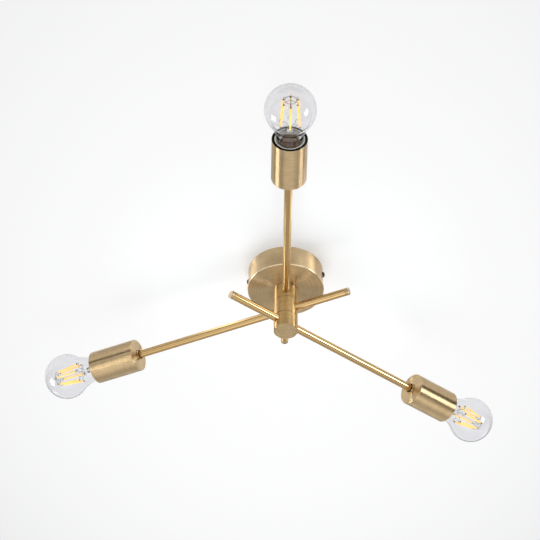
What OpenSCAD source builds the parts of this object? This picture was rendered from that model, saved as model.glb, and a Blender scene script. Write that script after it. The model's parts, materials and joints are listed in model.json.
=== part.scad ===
// Three-arm swivelling ceiling light, hanging below its ceiling plane at Z = 0.
// Millimetres, +Z up. The canopy's axis is Z, and arm 1 points towards -Y.

/* [Canopy] */
// Depth of the canopy from the ceiling to its flat face
canopy_h = 31.6; // [26:0.2:45]
// Diameter of the canopy's side wall
canopy_wall_d = 95.9; // [90:0.1:140]
// Thickness of the canopy's side wall
canopy_wall_t = 1.5; // [0.8:0.1:2.5]
// Thickness of the canopy's face plate and of its proud rim
canopy_face_t = 2.2; // [1.6:0.1:4]
// How far the face plate's rim stands out beyond the side wall
canopy_lip = 1.2; // [0.4:0.1:2.5]
// Depth of the two side screws below the ceiling
canopy_screw_drop = 11.3; // [9:0.1:14]
// Direction of the line through the two side screws
canopy_turn = -8.3; // [-45:0.1:45]
// Shank diameter of a side screw
canopy_screw_d = 3.8; // [3:0.1:5]
// Head diameter of a side screw
canopy_screw_head_d = 7.6; // [6:0.1:9]
// Head height of a side screw
canopy_screw_head_h = 2.9; // [2:0.1:4]

/* [Ceiling bracket] */
// Width of the bracket's strap
strap_w = 18; // [16:0.5:26]
// Thickness of the bracket's sheet
strap_t = 1.5; // [1:0.1:2.5]
// Width of the two turned-down tabs
tab_w = 12; // [9:0.5:16]
// Length of the tabs below the ceiling
tab_l = 17; // [15:0.5:20]
// Pitch circle of the two ceiling screws
bracket_pcd = 60; // [52:1:66]
// Diameter of the ceiling screw holes
bracket_hole_d = 5; // [4:0.1:6]
// Diameter of the cable entry in the strap
cable_hole_d = 13; // [8:0.5:15]

/* [Terminal block] */
// Length of the terminal block across its poles
block_l = 30; // [27:0.5:34]
// Width of the terminal block along its wires
block_w = 16; // [14:0.5:20]
// Height of the terminal block
block_h = 11; // [9:0.5:13]
// Diameter of the wire bores
block_bore_d = 3.4; // [3:0.1:4]
// Diameter of the clamping screws
block_screw_d = 3; // [2.6:0.1:3.2]
// Diameter of an insulated lead
lead_d = 2; // [1.6:0.05:2.1]

/* [Swivel hubs] */
// Diameter of the three hubs
hub_d = 30.4; // [28:0.1:40]
// Height of the hub next to the canopy
hub_1_h = 21.3; // [20.8:0.1:30]
// Height of the middle hub
hub_2_h = 24.9; // [23.6:0.1:34]
// Height of the lowest hub
hub_3_h = 21.5; // [16:0.1:30]
// Wall of a hub around its wiring chamber
hub_wall = 3; // [2.2:0.1:4]
// Thickness of a hub's top web
hub_web = 2.4; // [2:0.1:2.5]
// Chamfer on the edges of a hub
hub_chamfer = 0.4; // [0.1:0.05:0.8]
// Thickness of the friction washer above each hub
washer_t = 0.5; // [0.3:0.05:1]
// How far the friction washer lies in from the hub's side
washer_inset = 0.6; // [0.2:0.1:2]
// Thickness of the plate that closes a hub
cover_t = 3; // [2.4:0.1:3.4]
// Thickness of the plate's flange
cover_flange_t = 1; // [0.6:0.1:1.6]
// Rim of the hub left standing round the plate's flange
cover_rim = 0.8; // [0.4:0.1:1.4]
// Outer diameter of the hollow swivel stems
stem_d = 9.8; // [8:0.1:10.6]
// Bore of the hollow swivel stems
stem_bore_d = 6.6; // [6.6:0.1:7]
// Diameter of the first stem's head inside the canopy
stem_head_d = 18; // [14:0.5:24]
// Thickness of the first stem's head
stem_head_t = 2; // [1:0.1:3]
// Width across flats of the stem nuts
nut_af = 14; // [13:0.5:15]
// Thickness of the stem nuts
nut_t = 3.5; // [2.5:0.1:3.7]
// Distance of a stop pin from the hubs' axis
stop_r = 11.6; // [10.8:0.1:12]
// Diameter of a stop pin
stop_d = 2; // [1.4:0.1:2.2]
// How far a stop pin reaches into the next hub's web
stop_reach = 1.2; // [0.6:0.1:1.3]
// Swing of arm 1 to each side of rest, set by its stop groove
arm_1_swing = 160; // [30:1:160]
// Swing of arm 2 to each side of rest, set by its stop groove
arm_2_swing = 50; // [10:1:60]
// Swing of arm 3 to each side of rest, set by its stop groove
arm_3_swing = 50; // [10:1:60]

/* [Arms] */
// Direction of arm 1 at rest
arm_1_turn = -89; // [-100:0.1:-80]
// Direction of arm 2 at rest
arm_2_turn = 155.2; // [150:0.1:165]
// Direction of arm 3 at rest
arm_3_turn = 38.9; // [30:0.1:45]
// Depth of rod 1 below the top of its hub
rod_1_drop = 12.2; // [11.8:0.1:12.4]
// Depth of rod 2 below the top of its hub
rod_2_drop = 11.7; // [11.4:0.1:11.9]
// Depth of rod 3 below the top of its hub
rod_3_drop = 7.6; // [7.6:0.1:10]
// Diameter of the rods
rod_d = 10; // [8:0.1:10]
// Wall of the rods
rod_wall = 1; // [0.6:0.1:1.4]
// Distance from the hubs' axis to a rod's plugged end
stub_l = 87.5; // [40:0.5:120]
// Distance from the hubs' axis to the rear face of a cup
cup_reach = 212.8; // [150:0.2:260]
// Length of the plug's head beyond the rod
plug_l = 5; // [2:0.1:10]
// Length of the plug's spigot inside the rod
plug_spigot_l = 8; // [4:0.5:20]

/* [Lamp cups] */
// Diameter of the cups
cup_d = 42; // [41:0.1:50]
// Length of the cups
cup_l = 62.9; // [60:0.1:90]
// Wall of the cups
cup_wall = 1.2; // [0.8:0.1:1.6]
// Thickness of a cup's rear plate
cup_rear_t = 2; // [1.4:0.1:3]
// Radius of the cups' rear edge
cup_edge_r = 1.2; // [0.4:0.1:1.4]
// Diameter of the ring nut behind a cup
collar_d = 13.6; // [13.2:0.1:18]
// Length of the ring nut behind a cup
collar_l = 2.8; // [1.5:0.1:6]
// Outer diameter of the black bush round the rod
bush_d = 12; // [11.6:0.1:12.4]
// How far the bush stands proud of the ring nut
bush_proud = 0.8; // [0.3:0.1:2]

/* [Lampholders] */
// Depth of the lampholder's rim below the cup's mouth
holder_recess = 0.9; // [0.2:0.1:3]
// Diameter of the lampholder's mouth
holder_mouth_d = 35.4; // [34:0.1:36]
// Depth of the lampholder's mouth, down to the shell's flange
holder_mouth_l = 2.6; // [1:0.1:4]
// Length of the funnel below the mouth
funnel_l = 3.6; // [2:0.1:5]
// Depth of the centre contact below the cup's mouth
socket_depth = 31.5; // [31:0.1:36]
// Depth of the wiring floor below the centre contact
contact_drop = 5.6; // [4:0.1:8]
// Length of rod that enters the lampholder
holder_neck_l = 10; // [6:0.1:12]
// Diameter of the lampholder's rear neck
holder_neck_d = 26; // [16:0.5:36]
// Sheet thickness of the screw shell and contacts
shell_t = 0.5; // [0.3:0.05:0.6]

/* [Bulbs] */
// Diameter of the glass
bulb_d = 60; // [56:0.5:64]
// Length of a bulb from the top of its glass to its contact
bulb_l = 106; // [105:0.5:108]
// Thickness of the glass
glass_t = 0.8; // [0.5:0.1:1.2]
// Length of the cap with its contact
cap_l = 26; // [25.5:0.1:27]
// Diameter over the cap's thread
cap_crest_d = 26.1; // [25.8:0.1:26.4]
// Diameter at the root of the cap's thread
cap_root_d = 24.4; // [24:0.1:24.8]
// Pitch of the thread
thread_pitch = 3.63; // [3.4:0.01:3.7]
// Number of thread turns on the cap
thread_turns = 4; // [3:1:4]
// Number of filaments
filament_count = 6; // [4:1:8]
// Diameter of a filament
filament_d = 1.8; // [1.2:0.1:2.4]
// Diameter of the wires
wire_d = 0.6; // [0.4:0.05:0.8]

/* [Hidden] */
round_fn = 96;
small_fn = 32;
wire_fn = 6;
filament_fn = 12;
over = 1;

// Clearances between pieces
fit_gap = 0.05;
swivel_gap = 0.08;
loose_gap = 0.3;
thread_gap = 0.2;
contact_gap = 0.1;

// Colours
brass = [0.72, 0.56, 0.33];
black = [0.05, 0.05, 0.05];
steel = [0.62, 0.62, 0.6];
nickel = [0.78, 0.76, 0.7];
copper = [0.66, 0.42, 0.22];
ceramic = [0.92, 0.91, 0.87];
glass = [0.86, 0.92, 0.94, 0.3];
amber = [1, 0.72, 0.2];

// Canopy
wall_r = canopy_wall_d / 2;
wall_in_r = wall_r - canopy_wall_t;
rim_r = wall_r + canopy_lip;
rim_round_share = 0.4;
rim_round = canopy_face_t * rim_round_share;
face_in_z = canopy_face_t - canopy_h;
screw_hole_gap = 0.3;
screw_slot_share = 0.14;
screw_slot_w = canopy_screw_head_d * screw_slot_share;

// Bracket and terminal block
tab_gap = 0.3;
tab_x = sqrt(pow(wall_in_r, 2) - pow(tab_w / 2, 2)) - tab_gap;
ear_margin = 1;
ear_step = 5;
block_y = strap_w / 2 + ear_step;
pole_count = 3;
pole_pitch = block_l / pole_count;
pole_groove_w = 1.6;
pole_groove_h = 3;
bore_depth_share = 0.36;
bore_z = -strap_t - block_h * bore_depth_share;
clamp_share = 0.28;
clamp_sink = 0.8;
clamp_slot_w = 0.7;
clamp_slot_h = 0.8;
clamp_gap = 0.15;

// Leads from the stem to the terminal block
lead_space = 0.1;
lead_pitch = lead_d + lead_space;
lead_low = face_in_z - canopy_face_t - washer_t;
lead_rise = 3;
lead_high = face_in_z + stem_head_t + lead_rise;
lead_entry = 4;
lead_run = 6;

// Hubs: tops, rods and chambers
hub_r = hub_d / 2;
chamber_r = hub_r - hub_wall;
top_1 = -canopy_h - washer_t;
top_2 = top_1 - hub_1_h - washer_t;
top_3 = top_2 - hub_2_h - washer_t;
hub_tops = [top_1, top_2, top_3];
hub_heights = [hub_1_h, hub_2_h, hub_3_h];
rod_z = [top_1 - rod_1_drop, top_2 - rod_2_drop, top_3 - rod_3_drop];
arm_turns = [arm_1_turn, arm_2_turn, arm_3_turn];
swings = [arm_1_swing, arm_2_swing, arm_3_swing];
flange_r = hub_r - cover_rim;
stem_r = stem_d / 2;
stem_bore_r = stem_bore_d / 2;
swivel_r = stem_r + swivel_gap;
stem_end = 0.3;
stop_gap = 0.2;
stop_turn = 90;

// Rods and cups, measured along the arm from the hubs' axis
rod_r = rod_d / 2;
rod_bore_r = rod_r - rod_wall;
wire_hole_d = 5;
plug_r = rod_r;
rod_start = plug_l - stub_l;
cup_r = cup_d / 2;
cup_in_r = cup_r - cup_wall;
mouth = cup_reach + cup_l;
cup_floor = cup_reach + cup_rear_t;
rod_finish = cup_floor + holder_neck_l;
bush_r = bush_d / 2;
bush_flange = 1.2;

// Lampholder and screw shell
holder_gap = 0.2;
holder_r = cup_in_r - holder_gap;
holder_rim = mouth - holder_recess;
flange_x = holder_rim - holder_mouth_l;
funnel_x = flange_x - funnel_l;
contact_x = mouth - socket_depth;
holder_floor = contact_x - contact_drop;
holder_mouth_r = holder_mouth_d / 2;
crest_r = cap_crest_d / 2;
root_r = cap_root_d / 2;
shell_crest_r = crest_r + thread_gap;
shell_root_r = shell_crest_r + crest_r - root_r;
shell_out_r = shell_root_r + shell_t;
shell_bore_r = shell_out_r + fit_gap;
shell_lift = 4.4;
shell_end = holder_floor + shell_lift;
shell_lip_w = 3;
contact_w = 7;
contact_len = 13;
holder_base_t = 5.2;
neck_step_l = holder_floor - holder_base_t - (holder_r - holder_neck_d / 2) - cup_floor;

// Bulb, measured along the arm
bulb_r = bulb_d / 2;
bulb_tip_x = contact_x + contact_gap;
bulb_x = bulb_tip_x + bulb_l - bulb_r;
cap_x = bulb_tip_x + cap_l;
neck_turn = 125;
neck_step = 0.5;
neck_in_r = root_r + neck_step;
neck_seat = 0.8;
neck_r = neck_in_r + neck_seat;
neck_l = 3;
neck_lead_share = 0.3;
neck_trail_share = 0.47;
neck_slope = 14;
rim_l = 4;
tip_share = 0.36;
tip_r = crest_r * tip_share;
tip_h = 2.2;
insulator_step = 0.9;
insulator_r = root_r - insulator_step;
cap_tail_l = 1.5;
thread_shares = [0, 0.3, 0.7, 1];
thread_step_share = 0.999;
insulator_h = cap_l - rim_l - thread_turns * thread_pitch - cap_tail_l - tip_h;

// Filaments inside the bulb, measured from the centre of the glass
crown_share = 0.223;
crown_r = bulb_r * crown_share;
crown_rise_share = 0.485;
crown_x = bulb_x + bulb_r * crown_rise_share;
fil_shares = [[0.37, 0.305], [-0.67, 0.42]];
fil_top = bulb_r * fil_shares[0];
fil_low = bulb_r * fil_shares[1];
mount_share = 0.84;
mount_x = bulb_x - bulb_r * mount_share;
mount_r = 2.6;
mount_low_r = neck_in_r - glass_t - fit_gap;
mount_low_x = cap_x - neck_l;
post_r = 1.2;
fil_bend_share = 0.62;
bead_share = 1.3;

function arc(r, from, to, steps) =
    [for (i = [0:steps]) let (a = from + (to - from) * i / steps) [r * sin(a), r * cos(a)]];

function curve(p, steps) =
    [for (i = [1:steps]) let (t = i / steps, u = 1 - t)
        pow(u, 3) * p[0] + 3 * pow(u, 2) * t * p[1] + 3 * u * pow(t, 2) * p[2] + pow(t, 3) * p[3]];

// Half outline of one side of the glass, from its top to its neck, as [radius, distance along the arm]
function glass_outline(r, end_r) =
    let (
        start = [r * sin(neck_turn), r * cos(neck_turn)],
        finish = [end_r, cap_x - bulb_x],
        reach = norm(start - finish),
        lead = reach * neck_lead_share * [cos(neck_turn), -sin(neck_turn)],
        trail = reach * neck_trail_share * [sin(neck_slope), cos(neck_slope)],
        bend = curve([start, start + lead, finish + trail, finish], 12)
    )
    concat(arc(r, 0, neck_turn, 25), bend);

// Zigzag wall of a rolled thread, as [radius, distance along the arm]
function rolled(root, crest, from) = [
    for (i = [0:thread_turns - 1], s = [0:3])
        [s == 1 || s == 2 ? crest : root, from + thread_pitch * (i + thread_shares[s] * thread_step_share)]
];

module ring(r_out, r_in, h) {
    difference() {
        cylinder(r = r_out, h = h, $fn = round_fn);
        translate([0, 0, -over]) cylinder(r = r_in, h = h + 2 * over, $fn = round_fn);
    }
}

// A straight round bar between two points
module bar(p, q, r, sides = small_fn) {
    d = q - p;
    translate(p)
        rotate([0, acos(d.z / norm(d)), atan2(d.y, d.x)])
            cylinder(r = r, h = norm(d), $fn = sides);
}

// Places a piece that is drawn along +X on arm n
module on_arm(n) {
    translate([0, 0, rod_z[n]]) rotate([0, 0, arm_turns[n]]) children();
}

// Turns a half outline of [radius, distance] points about the arm
module lathe() {
    rotate([0, 90, 0]) rotate_extrude($fn = round_fn) children();
}

// Canopy and bracket

module canopy() {
    color(brass) difference() {
        union() {
            rotate_extrude($fn = round_fn) polygon(concat(
                [[0, face_in_z], [wall_in_r, face_in_z], [wall_in_r, 0], [wall_r, 0], [wall_r, face_in_z]],
                [for (a = [0:15:90]) [
                    rim_r - rim_round + rim_round * sin(a),
                    face_in_z - rim_round + rim_round * cos(a)
                ]],
                [for (a = [90:15:180]) [
                    rim_r - rim_round + rim_round * sin(a),
                    rim_round - canopy_h + rim_round * cos(a)
                ]],
                [[0, -canopy_h]]
            ));
            stop_pin(-canopy_h);
        }
        translate([0, 0, -canopy_h - over]) cylinder(r = stem_r + fit_gap, h = canopy_h, $fn = round_fn);
        rotate([0, 0, canopy_turn]) for (side = [0, 180])
            rotate([0, 0, side]) translate([wall_in_r - over, 0, -canopy_screw_drop]) rotate([0, 90, 0])
                cylinder(d = canopy_screw_d + 2 * screw_hole_gap, h = canopy_wall_t + 2 * over, $fn = small_fn);
    }
}

module ceiling_bracket() {
    ear_w = block_y + block_w + ear_margin;
    color(steel) rotate([0, 0, canopy_turn]) difference() {
        union() {
            translate([-tab_x, -tab_w / 2, -strap_t]) cube([2 * tab_x, tab_w, strap_t]);
            translate([-bracket_pcd / 2 - bracket_hole_d, -strap_w / 2, -strap_t])
                cube([bracket_pcd + 2 * bracket_hole_d, strap_w, strap_t]);
            translate([-block_l / 2, 0, -strap_t]) cube([block_l, ear_w, strap_t]);
            for (side = [0, 180]) rotate([0, 0, side])
                translate([tab_x - strap_t, -tab_w / 2, -tab_l]) cube([strap_t, tab_w, tab_l]);
        }
        for (side = [0, 180]) rotate([0, 0, side]) {
            translate([bracket_pcd / 2, 0, -strap_t - over])
                cylinder(d = bracket_hole_d, h = strap_t + 2 * over, $fn = small_fn);
            translate([tab_x - strap_t - over, 0, -canopy_screw_drop]) rotate([0, 90, 0])
                cylinder(d = canopy_screw_d + 2 * fit_gap, h = strap_t + 2 * over, $fn = small_fn);
        }
        translate([0, 0, -strap_t - over])
            cylinder(d = cable_hole_d, h = strap_t + 2 * over, $fn = round_fn);
    }
}

module canopy_screw() {
    shank = wall_r - tab_x + strap_t + over;
    head_r = canopy_screw_head_d / 2;
    difference() {
        rotate([0, 90, 0]) union() {
            translate([0, 0, -shank]) cylinder(d = canopy_screw_d, h = shank + over, $fn = small_fn);
            rotate_extrude($fn = round_fn) polygon(concat(
                [[0, 0], [head_r, 0]],
                [for (a = [15:15:90]) [head_r * cos(a), canopy_screw_head_h * sin(a)]]
            ));
        }
        translate([canopy_screw_head_h / 2, -head_r - over, -screw_slot_w / 2])
            cube([canopy_screw_head_h, 2 * head_r + 2 * over, screw_slot_w]);
    }
}

module canopy_screws() {
    color(black) rotate([0, 0, canopy_turn]) for (side = [0, 180])
        rotate([0, 0, side]) translate([wall_r, 0, -canopy_screw_drop]) canopy_screw();
}

// Places a child at each clamping screw of the terminal block
module at_clamps() {
    for (pole = [0:pole_count - 1], end = [clamp_share, 1 - clamp_share])
        translate([(pole + 0.5) * pole_pitch - block_l / 2, block_y + end * block_w, -strap_t - block_h])
            children();
}

module terminal_block() {
    color(ceramic) rotate([0, 0, canopy_turn]) difference() {
        translate([-block_l / 2, block_y, -strap_t - block_h]) cube([block_l, block_w, block_h]);
        for (pole = [0:pole_count - 1])
            translate([(pole + 0.5) * pole_pitch - block_l / 2, block_y - over, bore_z]) rotate([-90, 0, 0])
                cylinder(d = block_bore_d, h = block_w + 2 * over, $fn = small_fn);
        for (pole = [1:pole_count - 1])
            translate([pole * pole_pitch - (block_l + pole_groove_w) / 2, block_y - over,
                -strap_t - block_h - over])
                cube([pole_groove_w, block_w + 2 * over, pole_groove_h + over]);
        at_clamps() translate([0, 0, -over])
            cylinder(d = block_screw_d + 2 * clamp_gap, h = bore_z + strap_t + block_h + over, $fn = small_fn);
    }
}

module terminal_screws() {
    color(brass) rotate([0, 0, canopy_turn]) at_clamps() translate([0, 0, clamp_sink]) difference() {
        cylinder(d = block_screw_d, h = bore_z + strap_t + block_h - block_bore_d / 2 - clamp_sink,
            $fn = small_fn);
        translate([-block_screw_d, -clamp_slot_w / 2, -over])
            cube([2 * block_screw_d, clamp_slot_w, clamp_slot_h + over]);
    }
}

module canopy_leads() {
    r = lead_d / 2;
    color("ivory") rotate([0, 0, canopy_turn]) for (k = [0:pole_count - 1]) {
        near = (k - (pole_count - 1) / 2) * lead_pitch;
        far = (k - (pole_count - 1) / 2) * pole_pitch;
        route = [
            [near, 0, lead_low], [near, 0, lead_high],
            [far, block_y - lead_run, bore_z], [far, block_y + lead_entry, bore_z]
        ];
        for (i = [0:2]) bar(route[i], route[i + 1], r, wire_fn);
        for (i = [1:2]) translate(route[i]) sphere(r = r, $fn = wire_fn);
    }
}

// Swivel hubs

// The pin that limits a swing, standing down from level z
module stop_pin(z) {
    rotate([0, 0, stop_turn]) translate([stop_r, 0, z - washer_t - stop_reach])
        cylinder(d = stop_d, h = washer_t + stop_reach + fit_gap, $fn = small_fn);
}

// The groove in a hub's web that the stop pin runs in
module stop_groove(swing, depth) {
    w = stop_d / 2 + stop_gap;
    rotate([0, 0, stop_turn]) {
        rotate([0, 0, -swing]) rotate_extrude(angle = 2 * swing, $fn = round_fn)
            translate([stop_r - w, -depth]) square([2 * w, depth + over]);
        for (a = [-swing, swing]) rotate([0, 0, a]) translate([stop_r, 0, -depth])
            cylinder(r = w, h = depth + over, $fn = small_fn);
    }
}

module friction_washer(n) {
    color(black) difference() {
        translate([0, 0, hub_tops[n]]) ring(hub_r - washer_inset, swivel_r, washer_t);
        rotate([0, 0, stop_turn]) translate([stop_r, 0, hub_tops[n] - over])
            cylinder(d = stop_d + 2 * fit_gap, h = washer_t + 2 * over, $fn = small_fn);
    }
}

module swivel_stem_1() {
    low = top_1 - hub_web - nut_t - stem_end;
    color(brass) difference() {
        union() {
            translate([0, 0, low]) cylinder(r = stem_r, h = face_in_z - low + stem_head_t, $fn = round_fn);
            translate([0, 0, face_in_z]) cylinder(d = stem_head_d, h = stem_head_t, $fn = round_fn);
        }
        translate([0, 0, low - over])
            cylinder(r = stem_bore_r, h = face_in_z - low + stem_head_t + 2 * over, $fn = round_fn);
    }
}

module swivel_stem_2() {
    low = top_2 - hub_web - nut_t - stem_end;
    high = top_1 - hub_1_h + cover_t;
    color(brass) translate([0, 0, low]) ring(stem_r, stem_bore_r, high - low);
}

module swivel_stem_3() {
    low = top_3 - hub_web;
    high = top_2 - hub_2_h + cover_t + nut_t + stem_end;
    color(brass) translate([0, 0, low]) ring(stem_r, stem_bore_r, high - low);
}

module stem_nut(z) {
    color(brass) translate([0, 0, z]) difference() {
        cylinder(r = nut_af / 2 / cos(30), h = nut_t, $fn = 6);
        translate([0, 0, -over]) cylinder(r = stem_r + fit_gap, h = nut_t + 2 * over, $fn = round_fn);
    }
}

module hub(n) {
    h = hub_heights[n];
    bore = n == 2 ? stem_r + fit_gap : swivel_r;
    color(brass) translate([0, 0, hub_tops[n]]) difference() {
        rotate_extrude($fn = round_fn) polygon([
            [bore, 0], [hub_r - hub_chamfer, 0], [hub_r, -hub_chamfer],
            [hub_r, hub_chamfer - h], [hub_r - hub_chamfer, -h], [flange_r + fit_gap, -h],
            [flange_r + fit_gap, cover_flange_t - h], [chamber_r, cover_flange_t - h],
            [chamber_r, -hub_web], [bore, -hub_web]
        ]);
        stop_groove(swings[n], stop_reach + stop_gap);
        translate([0, 0, rod_z[n] - hub_tops[n]]) rotate([0, 90, arm_turns[n]])
            translate([0, 0, -hub_d]) cylinder(r = rod_r + fit_gap, h = 2 * hub_d, $fn = round_fn);
    }
}

module hub_cover(n) {
    bore = n == 0 ? stem_r + fit_gap : n == 1 ? swivel_r : 0;
    color(brass) translate([0, 0, hub_tops[n] - hub_heights[n]]) {
        difference() {
            union() {
                cylinder(r = chamber_r - fit_gap, h = cover_t, $fn = round_fn);
                cylinder(r = flange_r, h = cover_flange_t, $fn = round_fn);
            }
            if (bore > 0) translate([0, 0, -over]) cylinder(r = bore, h = cover_t + 2 * over, $fn = round_fn);
        }
        if (n < 2) stop_pin(0);
    }
}

// Arms

module rod(n) {
    color(brass) on_arm(n) difference() {
        translate([rod_start, 0, 0]) rotate([0, 90, 0])
            ring(rod_r, rod_bore_r, rod_finish - rod_start);
        cylinder(d = wire_hole_d, h = rod_d, $fn = small_fn);
    }
}

module end_plug(n) {
    chamfer = rod_wall / 4;
    spigot_r = rod_bore_r - fit_gap;
    color(brass) on_arm(n) translate([-stub_l, 0, 0]) lathe() polygon([
        [0, 0], [plug_r - 2 * chamfer, 0], [plug_r, 2 * chamfer], [plug_r, plug_l - chamfer],
        [plug_r - chamfer, plug_l], [spigot_r, plug_l], [spigot_r, plug_l + plug_spigot_l],
        [0, plug_l + plug_spigot_l]
    ]);
}

module collar(n) {
    edge = collar_l / 6;
    r = collar_d / 2;
    color(brass) on_arm(n) translate([cup_reach - collar_l, 0, 0]) lathe() polygon([
        [bush_r + fit_gap, 0], [r - edge, 0], [r, edge], [r, collar_l - edge], [r - edge, collar_l],
        [bush_r + fit_gap, collar_l]
    ]);
}

module rod_bush(n) {
    start = cup_reach - collar_l - bush_proud;
    edge = bush_proud / 3;
    color(black) on_arm(n) translate([start, 0, 0]) lathe() polygon([
        [rod_r + fit_gap, 0], [bush_r - edge, 0], [bush_r, edge], [bush_r, cup_floor - start],
        [rod_r + fit_gap, cup_floor - start]
    ]);
}

module cup(n) {
    hole = bush_r + fit_gap;
    color(brass) on_arm(n) translate([cup_reach, 0, 0]) lathe() polygon(concat(
        [[hole, 0]],
        [for (a = [0:15:90]) [cup_r - cup_edge_r + cup_edge_r * sin(a), cup_edge_r - cup_edge_r * cos(a)]],
        [[cup_r, cup_l], [cup_in_r, cup_l], [cup_in_r, cup_rear_t], [hole, cup_rear_t]]
    ));
}

module lampholder(n) {
    neck = holder_neck_d / 2;
    bore = rod_r + fit_gap;
    color(black) on_arm(n) lathe() polygon([
        [bore, cup_floor], [neck, cup_floor], [neck, cup_floor + neck_step_l],
        [holder_r, cup_floor + neck_step_l + holder_r - neck], [holder_r, holder_rim],
        [holder_mouth_r, holder_rim], [holder_mouth_r, flange_x], [shell_bore_r, funnel_x],
        [shell_bore_r, holder_floor], [0, holder_floor], [0, rod_finish + over], [bore, rod_finish + over]
    ]);
}

module screw_shell(n) {
    thread = rolled(shell_root_r, shell_crest_r, funnel_x - thread_turns * thread_pitch - thread_pitch);
    top = thread[len(thread) - 1];
    funnel_r = holder_mouth_r - fit_gap;
    inner = concat(
        [[shell_root_r - shell_lip_w, shell_end + shell_t], [shell_root_r, shell_end + shell_t]],
        thread,
        [[shell_root_r, funnel_x], [funnel_r - 2 * shell_t, flange_x + shell_t],
            [funnel_r - 2 * shell_t, flange_x + 2 * shell_t]]
    );
    outer = concat(
        [[funnel_r, flange_x + 2 * shell_t], [funnel_r, flange_x + fit_gap], [shell_out_r, funnel_x]],
        [for (i = [len(thread) - 1:-1:0]) thread[i] + [shell_t, 0]],
        [[shell_out_r, shell_end], [shell_root_r - shell_lip_w, shell_end]]
    );
    color(copper) on_arm(n) lathe() polygon(concat(inner, outer));
}

module centre_contact(n) {
    color(copper) on_arm(n) translate([holder_floor, -contact_w / 2, 0]) {
        translate([0, 0, -contact_len / 2]) cube([shell_t, contact_w, contact_len]);
        translate([0, 0, contact_len / 2 - shell_t]) cube([contact_drop, contact_w, shell_t]);
        translate([contact_drop - shell_t, 0, -contact_len / 4])
            cube([shell_t, contact_w, contact_len * 3 / 4]);
    }
}

// Bulbs

module bulb_glass(n) {
    neck_bore_r = neck_in_r - glass_t;
    outside = glass_outline(bulb_r, neck_r);
    inside = glass_outline(bulb_r - glass_t, neck_bore_r);
    neck = [
        [neck_in_r, cap_x - bulb_x], [neck_in_r, mount_low_x - bulb_x], [neck_bore_r, mount_low_x - bulb_x]
    ];
    color(glass) on_arm(n) translate([bulb_x, 0, 0]) lathe()
        polygon(concat(outside, neck, [for (i = [len(inside) - 1:-1:0]) inside[i]]));
}

module bulb_cap(n) {
    low = cap_x - rim_l - thread_turns * thread_pitch;
    thread = rolled(root_r, crest_r, low);
    edge = neck_in_r + fit_gap;
    inner = concat(
        [[edge, cap_x], [edge, cap_x - neck_l - fit_gap], [root_r - shell_t, cap_x - neck_l - 2 * shell_t]],
        [[root_r - shell_t, low], [insulator_r - shell_t, low - cap_tail_l]]
    );
    color(nickel) on_arm(n) lathe() polygon(concat(
        inner, [[insulator_r, low - cap_tail_l]], thread, [[crest_r, cap_x - rim_l], [crest_r, cap_x]]
    ));
}

module bulb_tip(n) {
    button = tip_h / 3;
    top = bulb_tip_x + tip_h + insulator_h - contact_gap;
    color(black) on_arm(n) lathe() polygon([
        [0, bulb_tip_x], [tip_r - button, bulb_tip_x], [tip_r, bulb_tip_x + button],
        [tip_r, bulb_tip_x + tip_h], [tip_r + button, bulb_tip_x + tip_h],
        [insulator_r, top - insulator_h / 3], [insulator_r, top], [0, top]
    ]);
}

module bulb_stem(n) {
    color(glass) on_arm(n) lathe() polygon([
        [0, mount_low_x], [mount_low_r, mount_low_x], [mount_low_r, mount_low_x + glass_t],
        [mount_r * 2, mount_x - bulb_r / 4], [mount_r, mount_x - bulb_r / 8], [mount_r, mount_x],
        [post_r, mount_x + mount_r - post_r], [post_r, crown_x + post_r], [0, crown_x + 2 * post_r]
    ]);
}

module bulb_filaments(n) {
    wire_r = wire_d / 2;
    color(amber) on_arm(n) {
        translate([crown_x, 0, 0]) rotate([0, 90, 0]) rotate_extrude($fn = round_fn)
            translate([crown_r, 0]) circle(r = wire_r, $fn = small_fn);
        for (i = [0:filament_count - 1]) rotate([i * 360 / filament_count, 0, 0]) {
            crown = [crown_x, 0, crown_r];
            top = [bulb_x + fil_top[0], 0, fil_top[1]];
            low = [bulb_x + fil_low[0], 0, fil_low[1]];
            bend = [mount_x, 0, fil_low[1] * fil_bend_share];
            foot = [mount_x - mount_r / 2, 0, mount_r + fit_gap];
            bar(crown, top, wire_r, wire_fn);
            bar(top, low, filament_d / 2, filament_fn);
            bar(low, bend, wire_r, wire_fn);
            bar(bend, foot, wire_r, wire_fn);
            for (joint = [crown, bend]) translate(joint) sphere(r = wire_r * bead_share, $fn = wire_fn);
            if (i % 2 == 0) bar([crown_x, 0, post_r + fit_gap], crown, wire_r, wire_fn);
        }
    }
}

canopy();
ceiling_bracket();
canopy_screws();
terminal_block();
terminal_screws();
canopy_leads();
friction_washer(0);  // friction_washer_1
friction_washer(1);  // friction_washer_2
friction_washer(2);  // friction_washer_3
swivel_stem_1();
swivel_stem_2();
swivel_stem_3();
stem_nut(top_1 - hub_web - nut_t);  // stem_nut_1
stem_nut(top_2 - hub_web - nut_t);  // stem_nut_2
stem_nut(top_2 - hub_2_h + cover_t);  // stem_nut_3
hub(0);  // hub_1
hub(1);  // hub_2
hub(2);  // hub_3
hub_cover(0);  // hub_cover_1
hub_cover(1);  // hub_cover_2
hub_cover(2);  // hub_cover_3
rod(0);  // rod_1
rod(1);  // rod_2
rod(2);  // rod_3
end_plug(0);  // end_plug_1
end_plug(1);  // end_plug_2
end_plug(2);  // end_plug_3
collar(0);  // collar_1
collar(1);  // collar_2
collar(2);  // collar_3
rod_bush(0);  // rod_bush_1
rod_bush(1);  // rod_bush_2
rod_bush(2);  // rod_bush_3
cup(0);  // cup_1
cup(1);  // cup_2
cup(2);  // cup_3
lampholder(0);  // lampholder_1
lampholder(1);  // lampholder_2
lampholder(2);  // lampholder_3
screw_shell(0);  // screw_shell_1
screw_shell(1);  // screw_shell_2
screw_shell(2);  // screw_shell_3
centre_contact(0);  // centre_contact_1
centre_contact(1);  // centre_contact_2
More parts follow.
